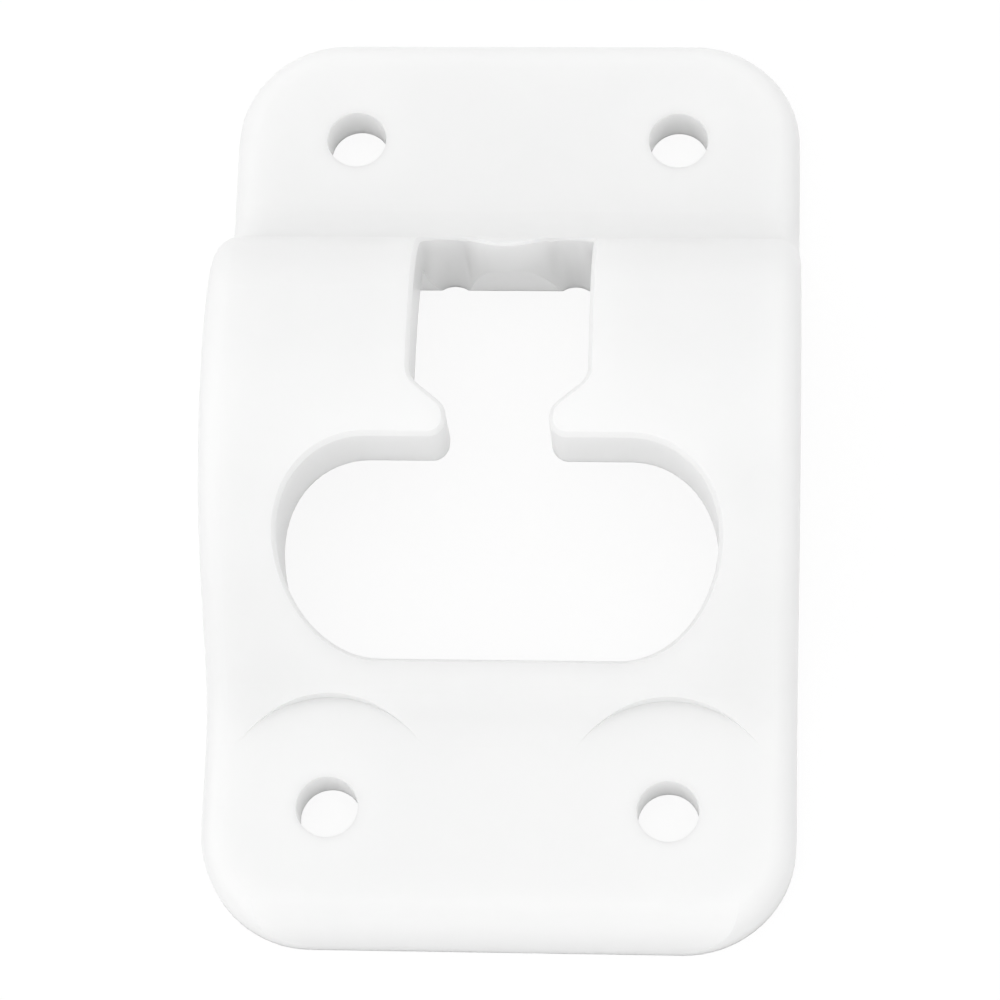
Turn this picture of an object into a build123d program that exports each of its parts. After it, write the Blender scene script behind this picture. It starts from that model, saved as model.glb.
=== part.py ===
from build123d import *
import os
from math import cos, radians, sin, sqrt, tan

# Sizes in millimetres. The plate lies on its back, its front faces up, the closed end of the notch is at +Y.

# Plate and flanges
PLATE_WIDTH = 55.6
LOWER_FLANGE = 21.55
UPPER_FLANGE = 21.7
CORNER_RADIUS = 10.5
FLANGE_THICKNESS = 4.75
EDGE_ROUND = 2.3
LOWER_END_FLAT = 0.55

# Hump between the flanges, read from the lower flange to the upper one
TOTAL_HEIGHT = 22.2
FOOT_FILLET = 7.7
RAMP_ANGLE = 44.8
CROWN_RADIUS = 28.6
CREST_START_ANGLE = 14.9
CREST_RADIUS = 11.5
END_WALL_ANGLE = 68.0
ROOT_FILLET = 4.5

# Hollow behind the hump
SHELL_THICKNESS = 6.6
SIDE_WALL = 4.8
HOLLOW_END_WALL = 3.4
HOLLOW_END_LEAN = 12.5
HOLLOW_CORNER = 3.5
HOLLOW_SIDE_CORNER = 2.0

# Opening: a wide slot for the head, a neck, and a notch for the stem
SLOT_LENGTH = 40.8
SLOT_HEIGHT = 17.6
SLOT_FROM_FOOT = 4.25
SLOT_UPPER_CORNER = 8.2
SLOT_END_FLAT = 0.1
JAW_CORNER = 1.6
NECK_WIDTH = 9.5
NECK_FLAT = 0.2
SHOULDER_ANGLE = 39.0
SHOULDER_RADIUS = 1.9
NOTCH_WIDTH = 16.5
NOTCH_END_WALL = 3.0
LOBE_RADIUS = 2.3
STOP_REACH = 3.05
OPENING_CHAMFER = 0.4

# Screw holes, with flat spot faces round the lower two
HOLE_SPACING_X = 31.75
LOWER_HOLE_INSET = 12.5
UPPER_HOLE_INSET = 11.0
HOLE_RADIUS = 2.9
SPOT_FACE_RADIUS = 10.6

# Edges and corners are picked by where they lie, to within this distance.
PICK_TOLERANCE = 0.02

# The crown arc is tangent to the ramp, and its top is the highest line of the hump.
RISE = TOTAL_HEIGHT - FLANGE_THICKNESS
CROWN_RUN = (RISE + CROWN_RADIUS * (1 / cos(radians(RAMP_ANGLE)) - 1)) / tan(radians(RAMP_ANGLE))
CROWN_CENTRE = (LOWER_FLANGE + CROWN_RUN, TOTAL_HEIGHT - CROWN_RADIUS)


def point_on(centre, radius, angle):
    """A point of an arc in the YZ plane, its angle in degrees from straight up towards +Y."""
    return (centre[0] + radius * sin(radians(angle)), centre[1] + radius * cos(radians(angle)))


# The crest arc carries on from the crown arc, and the end wall from the crest arc.
CREST_CENTRE = point_on(CROWN_CENTRE, CROWN_RADIUS - CREST_RADIUS, CREST_START_ANGLE)
CREST_END = point_on(CREST_CENTRE, CREST_RADIUS, END_WALL_ANGLE)
WALL_FOOT = CREST_END[0] + (CREST_END[1] - FLANGE_THICKNESS) / tan(radians(END_WALL_ANGLE))
PLATE_LENGTH = WALL_FOOT + UPPER_FLANGE


def front_profile():
    """The front surface as tangent lines and arcs, closed along the back plane, in the YZ plane."""
    foot_reach = FOOT_FILLET * tan(radians(RAMP_ANGLE) / 2)
    foot_centre = (LOWER_FLANGE - foot_reach, FLANGE_THICKNESS + FOOT_FILLET)
    foot_start = (foot_centre[0], FLANGE_THICKNESS)
    foot_middle = point_on(foot_centre, FOOT_FILLET, 180 - RAMP_ANGLE / 2)
    foot_end = point_on(foot_centre, FOOT_FILLET, 180 - RAMP_ANGLE)
    ramp_end = point_on(CROWN_CENTRE, CROWN_RADIUS, -RAMP_ANGLE)
    crown_middle = point_on(CROWN_CENTRE, CROWN_RADIUS, (CREST_START_ANGLE - RAMP_ANGLE) / 2)
    crown_end = point_on(CROWN_CENTRE, CROWN_RADIUS, CREST_START_ANGLE)
    crest_middle = point_on(CREST_CENTRE, CREST_RADIUS, (CREST_START_ANGLE + END_WALL_ANGLE) / 2)
    root_reach = ROOT_FILLET * tan(radians(END_WALL_ANGLE) / 2)
    root_centre = (WALL_FOOT + root_reach, FLANGE_THICKNESS + ROOT_FILLET)
    root_start = point_on(root_centre, ROOT_FILLET, 180 + END_WALL_ANGLE)
    root_middle = point_on(root_centre, ROOT_FILLET, 180 + END_WALL_ANGLE / 2)
    root_end = (root_centre[0], FLANGE_THICKNESS)
    lines = [
        Line((0, 0), (0, FLANGE_THICKNESS)),
        Line((0, FLANGE_THICKNESS), foot_start),
        ThreePointArc(foot_start, foot_middle, foot_end),
        Line(foot_end, ramp_end),
        ThreePointArc(ramp_end, crown_middle, crown_end),
        ThreePointArc(crown_end, crest_middle, CREST_END),
        Line(CREST_END, root_start),
        ThreePointArc(root_start, root_middle, root_end),
        Line(root_end, (PLATE_LENGTH, FLANGE_THICKNESS)),
        Line((PLATE_LENGTH, FLANGE_THICKNESS), (PLATE_LENGTH, 0)),
        Line((PLATE_LENGTH, 0), (0, 0)),
    ]
    return make_face(lines)


def across(face, width):
    """A face drawn as (y, z) stood up in the YZ plane and extruded evenly to both sides."""
    return extrude(Plane.YZ * face, amount=width / 2, both=True)


def lies_on(wire, first, second):
    """True when the point drawn as (first, second) is on the wire."""
    return wire.distance_to(Vertex(first, second, 0)) < PICK_TOLERANCE


def plate(profile):
    """The solid plate with its hump, its front border rounded and its lower end rolled over."""
    outline = Pos(0, PLATE_LENGTH / 2) * RectangleRounded(PLATE_WIDTH, PLATE_LENGTH, CORNER_RADIUS)
    border_wire = outline.face().outer_wire()
    body = across(profile, PLATE_WIDTH) & extrude(outline, amount=TOTAL_HEIGHT)
    border = []
    for edge in body.edges():
        middle = edge @ 0.5
        if middle.Z > FLANGE_THICKNESS - PICK_TOLERANCE and lies_on(border_wire, middle.X, middle.Y):
            border.append(edge)
    body = fillet(border, EDGE_ROUND)
    front_corner = profile.vertices().sort_by_distance((0, FLANGE_THICKNESS, 0))[0]
    rolled = fillet(front_corner, FLANGE_THICKNESS - LOWER_END_FLAT)
    return body & across(rolled, PLATE_WIDTH)


def hollow():
    """The space behind the hump, where the head slides, open at the back."""
    roof_radius = CROWN_RADIUS - SHELL_THICKNESS
    ramp_top = point_on(CROWN_CENTRE, roof_radius, -RAMP_ANGLE)
    ramp_foot = (ramp_top[0] - ramp_top[1] / tan(radians(RAMP_ANGLE)), 0)
    # The end face leans over from the back plane until it meets the roof.
    lean = radians(HOLLOW_END_LEAN)
    end_foot = (WALL_FOOT - HOLLOW_END_WALL, 0)
    from_centre = (end_foot[0] - CROWN_CENTRE[0], end_foot[1] - CROWN_CENTRE[1])
    along_face = from_centre[1] * cos(lean) - from_centre[0] * sin(lean)
    face_length = sqrt(along_face**2 + roof_radius**2 - from_centre[0] ** 2 - from_centre[1] ** 2) - along_face
    end_top = (end_foot[0] - face_length * sin(lean), face_length * cos(lean))
    lines = [
        Line(end_foot, ramp_foot),
        Line(ramp_foot, ramp_top),
        ThreePointArc(ramp_top, point_on(CROWN_CENTRE, roof_radius, 0), end_top),
        Line(end_top, end_foot),
    ]
    section = make_face(lines)
    end_corner = section.vertices().sort_by_distance((*end_top, 0))[0]
    space = across(fillet(end_corner, HOLLOW_CORNER), PLATE_WIDTH - 2 * SIDE_WALL)
    sides = []
    for edge in space.edges():
        centre = edge.center()
        at_side = abs(abs(centre.X) - (PLATE_WIDTH / 2 - SIDE_WALL)) < PICK_TOLERANCE
        if at_side and centre.Z > PICK_TOLERANCE:
            sides.append(edge)
    return fillet(sides, HOLLOW_SIDE_CORNER)


def slot_and_passage(notch_end_start):
    """The wide slot for the head, joined by the neck and the shoulders to the sides of the notch."""
    slot_bottom = LOWER_FLANGE + SLOT_FROM_FOOT
    slot_top = slot_bottom + SLOT_HEIGHT
    slot = Pos(0, slot_bottom + SLOT_HEIGHT / 2) * Rectangle(SLOT_LENGTH, SLOT_HEIGHT)
    slot = fillet(slot.vertices().group_by(Axis.Y)[-1], SLOT_UPPER_CORNER)
    # The lower corners are rounder and take up the rest of each end.
    slot = fillet(slot.vertices().group_by(Axis.Y)[0], SLOT_HEIGHT - SLOT_UPPER_CORNER - SLOT_END_FLAT)
    neck_half = NECK_WIDTH / 2
    notch_half = NOTCH_WIDTH / 2
    shoulder_reach = SHOULDER_RADIUS * tan(radians(90 - SHOULDER_ANGLE) / 2)
    shoulder_start = slot_top + JAW_CORNER + NECK_FLAT + shoulder_reach
    shoulder_end = shoulder_start + (notch_half - neck_half) * tan(radians(SHOULDER_ANGLE))
    passage = Polygon(
        (-neck_half, slot_top - JAW_CORNER),
        (neck_half, slot_top - JAW_CORNER),
        (neck_half, shoulder_start),
        (notch_half, shoulder_end),
        (notch_half, notch_end_start),
        (-notch_half, notch_end_start),
        (-notch_half, shoulder_end),
        (-neck_half, shoulder_start),
        align=None,
    )
    shape = slot + passage
    jaws = []
    for corner in shape.vertices():
        at_neck = abs(abs(corner.X) - neck_half) < PICK_TOLERANCE
        if at_neck and abs(corner.Y - slot_top) < PICK_TOLERANCE:
            jaws.append(corner)
    shape = fillet(jaws, JAW_CORNER)
    shoulders = []
    for corner in shape.vertices():
        if shoulder_start - PICK_TOLERANCE < corner.Y < shoulder_end + PICK_TOLERANCE:
            shoulders.append(corner)
    return fillet(shoulders, SHOULDER_RADIUS)


def notch_end(lobe_start, notch_end_start):
    """The closed end of the notch: a lobe in each corner and the rounded stop between, all tangent arcs."""
    notch_half = NOTCH_WIDTH / 2
    lobe_x = notch_half - LOBE_RADIUS
    # The stop's arc touches both lobes from outside, which fixes its radius.
    stop_radius = (lobe_x**2 + STOP_REACH**2) / (2 * STOP_REACH) - LOBE_RADIUS
    stop_centre = lobe_start + LOBE_RADIUS - STOP_REACH + stop_radius
    share = LOBE_RADIUS / (LOBE_RADIUS + stop_radius)
    touch = (lobe_x * (1 - share), lobe_start + (stop_centre - lobe_start) * share)
    half_turn = sqrt(0.5) * LOBE_RADIUS
    top = lobe_start + LOBE_RADIUS
    lines = [
        Line((-notch_half, lobe_start), (-notch_half, notch_end_start)),
        Line((-notch_half, notch_end_start), (notch_half, notch_end_start)),
        Line((notch_half, notch_end_start), (notch_half, lobe_start)),
        ThreePointArc((notch_half, lobe_start), (lobe_x + half_turn, lobe_start + half_turn), (lobe_x, top)),
        TangentArc((lobe_x, top), touch, tangent=(-1, 0)),
        ThreePointArc(touch, (0, top - STOP_REACH), (-touch[0], touch[1])),
        TangentArc((-lobe_x, top), (-touch[0], touch[1]), tangent=(1, 0)),
        ThreePointArc((-lobe_x, top), (-lobe_x - half_turn, lobe_start + half_turn), (-notch_half, lobe_start)),
    ]
    return make_face(lines)


def opening():
    """The plan of the whole opening."""
    lobe_start = WALL_FOOT - NOTCH_END_WALL - LOBE_RADIUS
    notch_end_start = lobe_start - STOP_REACH
    return slot_and_passage(notch_end_start) + notch_end(lobe_start, notch_end_start)


def build():
    profile = front_profile()
    body = plate(profile) - hollow()
    plan = opening()
    body -= extrude(plan, amount=TOTAL_HEIGHT)
    plan_wire = plan.face().outer_wire()
    front_wire = profile.face().outer_wire()
    rim = []
    for edge in body.edges():
        middle = edge @ 0.5
        in_front = middle.Z > FLANGE_THICKNESS and lies_on(front_wire, middle.Y, middle.Z)
        if in_front and lies_on(plan_wire, middle.X, middle.Y):
            rim.append(edge)
    body = chamfer(rim, OPENING_CHAMFER)
    for x in (-HOLE_SPACING_X / 2, HOLE_SPACING_X / 2):
        spot_face = extrude(Circle(SPOT_FACE_RADIUS), amount=TOTAL_HEIGHT)
        body -= Pos(x, LOWER_HOLE_INSET, FLANGE_THICKNESS) * spot_face
        for y in (LOWER_HOLE_INSET, PLATE_LENGTH - UPPER_HOLE_INSET):
            body -= Pos(x, y, 0) * extrude(Circle(HOLE_RADIUS), amount=FLANGE_THICKNESS)
    return body


# The origin is under the middle of the plate, on the face that rests on the door.
catch_plate = Pos(0, -PLATE_LENGTH / 2, 0) * build()
os.makedirs("parts", exist_ok=True)
export_step(catch_plate, "parts/catch_plate.step")
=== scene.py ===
import bpy
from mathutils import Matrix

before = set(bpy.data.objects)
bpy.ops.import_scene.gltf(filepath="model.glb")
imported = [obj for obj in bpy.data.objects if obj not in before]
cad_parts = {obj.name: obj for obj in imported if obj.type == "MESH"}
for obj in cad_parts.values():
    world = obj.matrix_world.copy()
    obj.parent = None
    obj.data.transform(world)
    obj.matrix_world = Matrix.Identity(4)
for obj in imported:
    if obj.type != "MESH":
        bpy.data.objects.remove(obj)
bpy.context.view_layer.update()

MM = 0.001
PICTURE_SIDE = 1000
SENSOR_WIDTH = 36.0

# The camera that took the photograph, from a fit to the plate's outline and holes.
FOCAL_PIXELS = 3969.45
EYE_MM = (23.229, -128.921, 361.055)
TURN = (0.3401, 0.0630, 0.0088)
NEAREST = 0.01
FARTHEST = 20.0

# The plastic's two whites, its gloss and the grain of the mottle and the skin, per metre.
COOLER_WHITE = (0.895, 0.897, 0.895, 1.0)
WARMER_WHITE = (0.915, 0.916, 0.913, 1.0)
MOTTLE_RANGE = (0.3, 0.7)
ROUGHNESS_RANGE = (0.30, 0.38)
MOTTLE_SCALE = 60.0
SKIN_SCALE = 2600.0
SKIN_STRENGTH = 0.04
SKIN_DEPTH = 0.00002
PLASTIC_IOR = 1.49

# How much of the light enters the plastic, and how far it spreads before it comes out again.
SPREAD_WEIGHT = 0.85
SPREAD_MM = 2.5

# The sheet lies just under the plate. It looks nearly white and keeps a faint shadow.
WHITE = (1.0, 1.0, 1.0, 1.0)
SHEET_HALF = 1.5
SHEET_DROP_MM = 0.02
SHEET_LIGHT_COLOUR = (0.85, 0.85, 0.85, 1.0)
SHEET_SHADOW_COLOUR = (0.14, 0.14, 0.14, 1.0)
SHEET_GLOW = 0.87

# The room's light, dimmer towards one side and near the horizon, where heights run from 0 to 1.
SEEN_ROOM = 1.0
ROOM_LIGHT = 0.94
DIM_SIDE_LIGHT = 0.72
DIM_SIDE = (0.95, -0.30, -0.05)
DIM_SIDE_START = 0.15
HORIZON_SHARE = 0.55
HORIZON_HEIGHT = 0.30

# Square lamps that face the plate: name, place in metres, power in watts.
LAMP_SIDE = 0.7
LAMPS = (
    ("lamp_top", (0.0, 0.0, 1.0), 0.85),
    ("lamp_left", (-0.85, 0.0, 0.5), 0.50),
    ("lamp_front", (0.0, -0.85, 0.5), 0.65),
)


def emptied(tree):
    """The nodes and links of a tree that has been emptied."""
    tree.nodes.clear()
    return tree.nodes, tree.links


def noise(nodes, links, place, scale, detail):
    """The strength of a noise pattern of the given scale at each place on the surface."""
    pattern = nodes.new("ShaderNodeTexNoise")
    pattern.inputs["Scale"].default_value = scale
    pattern.inputs["Detail"].default_value = detail
    links.new(place.outputs["Object"], pattern.inputs["Vector"])
    return pattern.outputs["Fac"]


def white_plastic():
    """White moulded plastic: a faint mottle in colour and gloss, and the fine skin of the mould."""
    material = bpy.data.materials.new("white_plastic")
    material.use_nodes = True
    nodes, links = emptied(material.node_tree)
    place = nodes.new("ShaderNodeTexCoord")
    mottle = noise(nodes, links, place, MOTTLE_SCALE, 3.0)

    colour = nodes.new("ShaderNodeValToRGB")
    for stop, position, white in zip(colour.color_ramp.elements, MOTTLE_RANGE, (COOLER_WHITE, WARMER_WHITE)):
        stop.position = position
        stop.color = white
    links.new(mottle, colour.inputs["Fac"])

    gloss = nodes.new("ShaderNodeMapRange")
    gloss.inputs["From Min"].default_value = MOTTLE_RANGE[0]
    gloss.inputs["From Max"].default_value = MOTTLE_RANGE[1]
    gloss.inputs["To Min"].default_value = ROUGHNESS_RANGE[0]
    gloss.inputs["To Max"].default_value = ROUGHNESS_RANGE[1]
    links.new(mottle, gloss.inputs["Value"])

    bump = nodes.new("ShaderNodeBump")
    bump.inputs["Strength"].default_value = SKIN_STRENGTH
    bump.inputs["Distance"].default_value = SKIN_DEPTH
    links.new(noise(nodes, links, place, SKIN_SCALE, 2.0), bump.inputs["Height"])

    surface = nodes.new("ShaderNodeBsdfPrincipled")
    surface.inputs["IOR"].default_value = PLASTIC_IOR
    surface.inputs["Subsurface Weight"].default_value = SPREAD_WEIGHT
    surface.inputs["Subsurface Radius"].default_value = (1.0, 1.0, 1.0)
    surface.inputs["Subsurface Scale"].default_value = SPREAD_MM * MM
    links.new(colour.outputs["Color"], surface.inputs["Base Color"])
    links.new(gloss.outputs["Result"], surface.inputs["Roughness"])
    links.new(bump.outputs["Normal"], surface.inputs["Normal"])

    output = nodes.new("ShaderNodeOutputMaterial")
    links.new(surface.outputs["BSDF"], output.inputs["Surface"])
    return material


def larger(nodes, links, first, second):
    """The larger of two values."""
    node = nodes.new("ShaderNodeMath")
    node.operation = "MAXIMUM"
    links.new(first, node.inputs[0])
    links.new(second, node.inputs[1])
    return node.outputs["Value"]


def seen_directly(nodes, links):
    """1 for rays that show a surface to the eye, straight or by gloss or glass, and 0 for the others."""
    path = nodes.new("ShaderNodeLightPath")
    to_eye = larger(nodes, links, path.outputs["Is Camera Ray"], path.outputs["Is Glossy Ray"])
    return larger(nodes, links, to_eye, path.outputs["Is Transmission Ray"])


def lighting_and_look(nodes, links, lighting, look, output_kind):
    """Joins one shader for the light that a thing gives and another for how it looks."""
    mix = nodes.new("ShaderNodeMixShader")
    links.new(seen_directly(nodes, links), mix.inputs["Fac"])
    links.new(lighting, mix.inputs[1])
    links.new(look, mix.inputs[2])
    output = nodes.new(output_kind)
    links.new(mix.outputs["Shader"], output.inputs["Surface"])


def floor():
    """A white sheet under the plate that keeps a faint shadow."""
    near, far = -SHEET_HALF, SHEET_HALF
    corners = [(near, near, 0), (far, near, 0), (far, far, 0), (near, far, 0)]
    mesh = bpy.data.meshes.new("floor")
    mesh.from_pydata(corners, [], [(0, 1, 2, 3)])
    sheet = bpy.data.objects.new("floor", mesh)
    sheet.location.z = -SHEET_DROP_MM * MM
    bpy.context.scene.collection.objects.link(sheet)

    material = bpy.data.materials.new("floor_white")
    material.use_nodes = True
    nodes, links = emptied(material.node_tree)
    paper = nodes.new("ShaderNodeBsdfDiffuse")
    paper.inputs["Color"].default_value = SHEET_LIGHT_COLOUR
    shadowed = nodes.new("ShaderNodeBsdfDiffuse")
    shadowed.inputs["Color"].default_value = SHEET_SHADOW_COLOUR
    glow = nodes.new("ShaderNodeEmission")
    glow.inputs["Color"].default_value = WHITE
    glow.inputs["Strength"].default_value = SHEET_GLOW
    look = nodes.new("ShaderNodeAddShader")
    links.new(shadowed.outputs["BSDF"], look.inputs[0])
    links.new(glow.outputs["Emission"], look.inputs[1])
    lighting_and_look(nodes, links, paper.outputs["BSDF"], look.outputs["Shader"], "ShaderNodeOutputMaterial")
    sheet.data.materials.append(material)


def smooth_step(nodes, links, value, start, end, from_value, to_value):
    """A value that runs smoothly from from_value at start to to_value at end."""
    step = nodes.new("ShaderNodeMapRange")
    step.interpolation_type = "SMOOTHSTEP"
    step.inputs["From Min"].default_value = start
    step.inputs["From Max"].default_value = end
    step.inputs["To Min"].default_value = from_value
    step.inputs["To Max"].default_value = to_value
    links.new(value, step.inputs["Value"])
    return step.outputs["Result"]


def surroundings():
    """A white room: seen as plain white, and lighting the plate softly, less from one side and low down."""
    world = bpy.data.worlds.new("white_room")
    bpy.context.scene.world = world
    world.use_nodes = True
    nodes, links = emptied(world.node_tree)
    seen = nodes.new("ShaderNodeBackground")
    seen.inputs["Color"].default_value = WHITE
    seen.inputs["Strength"].default_value = SEEN_ROOM
    light = nodes.new("ShaderNodeBackground")
    light.inputs["Color"].default_value = WHITE

    direction = nodes.new("ShaderNodeTexCoord").outputs["Generated"]
    side = nodes.new("ShaderNodeVectorMath")
    side.operation = "DOT_PRODUCT"
    side.inputs[1].default_value = DIM_SIDE
    links.new(direction, side.inputs[0])
    axes = nodes.new("ShaderNodeSeparateXYZ")
    links.new(direction, axes.inputs["Vector"])
    height = nodes.new("ShaderNodeMath")
    height.operation = "ABSOLUTE"
    links.new(axes.outputs["Z"], height.inputs[0])

    level = smooth_step(nodes, links, side.outputs["Value"], DIM_SIDE_START, 1.0, ROOM_LIGHT, DIM_SIDE_LIGHT)
    horizon = smooth_step(nodes, links, height.outputs["Value"], 0.0, HORIZON_HEIGHT, HORIZON_SHARE, 1.0)
    strength = nodes.new("ShaderNodeMath")
    strength.operation = "MULTIPLY"
    links.new(level, strength.inputs[0])
    links.new(horizon, strength.inputs[1])
    links.new(strength.outputs["Value"], light.inputs["Strength"])
    lit = light.outputs["Background"]
    lighting_and_look(nodes, links, lit, seen.outputs["Background"], "ShaderNodeOutputWorld")


def soft_box(name, place, power):
    """A square studio lamp at place that faces the plate."""
    data = bpy.data.lights.new(name, "AREA")
    data.shape = "SQUARE"
    data.size = LAMP_SIDE
    data.energy = power
    lamp = bpy.data.objects.new(name, data)
    bpy.context.scene.collection.objects.link(lamp)
    lamp.location = place
    lamp.rotation_mode = "QUATERNION"
    lamp.rotation_quaternion = (-lamp.location).to_track_quat("-Z", "Y")


def camera():
    """The photograph's camera, with its lens worked out from the focal length in pixels."""
    data = bpy.data.cameras.new("photo_camera")
    data.sensor_width = SENSOR_WIDTH
    data.lens = FOCAL_PIXELS * SENSOR_WIDTH / PICTURE_SIDE
    data.clip_start = NEAREST
    data.clip_end = FARTHEST
    eye = bpy.data.objects.new("photo_camera", data)
    bpy.context.scene.collection.objects.link(eye)
    eye.location = [MM * value for value in EYE_MM]
    eye.rotation_mode = "ZYX"
    eye.rotation_euler = TURN
    bpy.context.scene.camera = eye


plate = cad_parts["catch_plate"]
plate.data.materials.clear()
plate.data.materials.append(white_plastic())

floor()
surroundings()
for name, place, power in LAMPS:
    soft_box(name, place, power)
camera()
bpy.context.scene.view_settings.view_transform = "Standard"
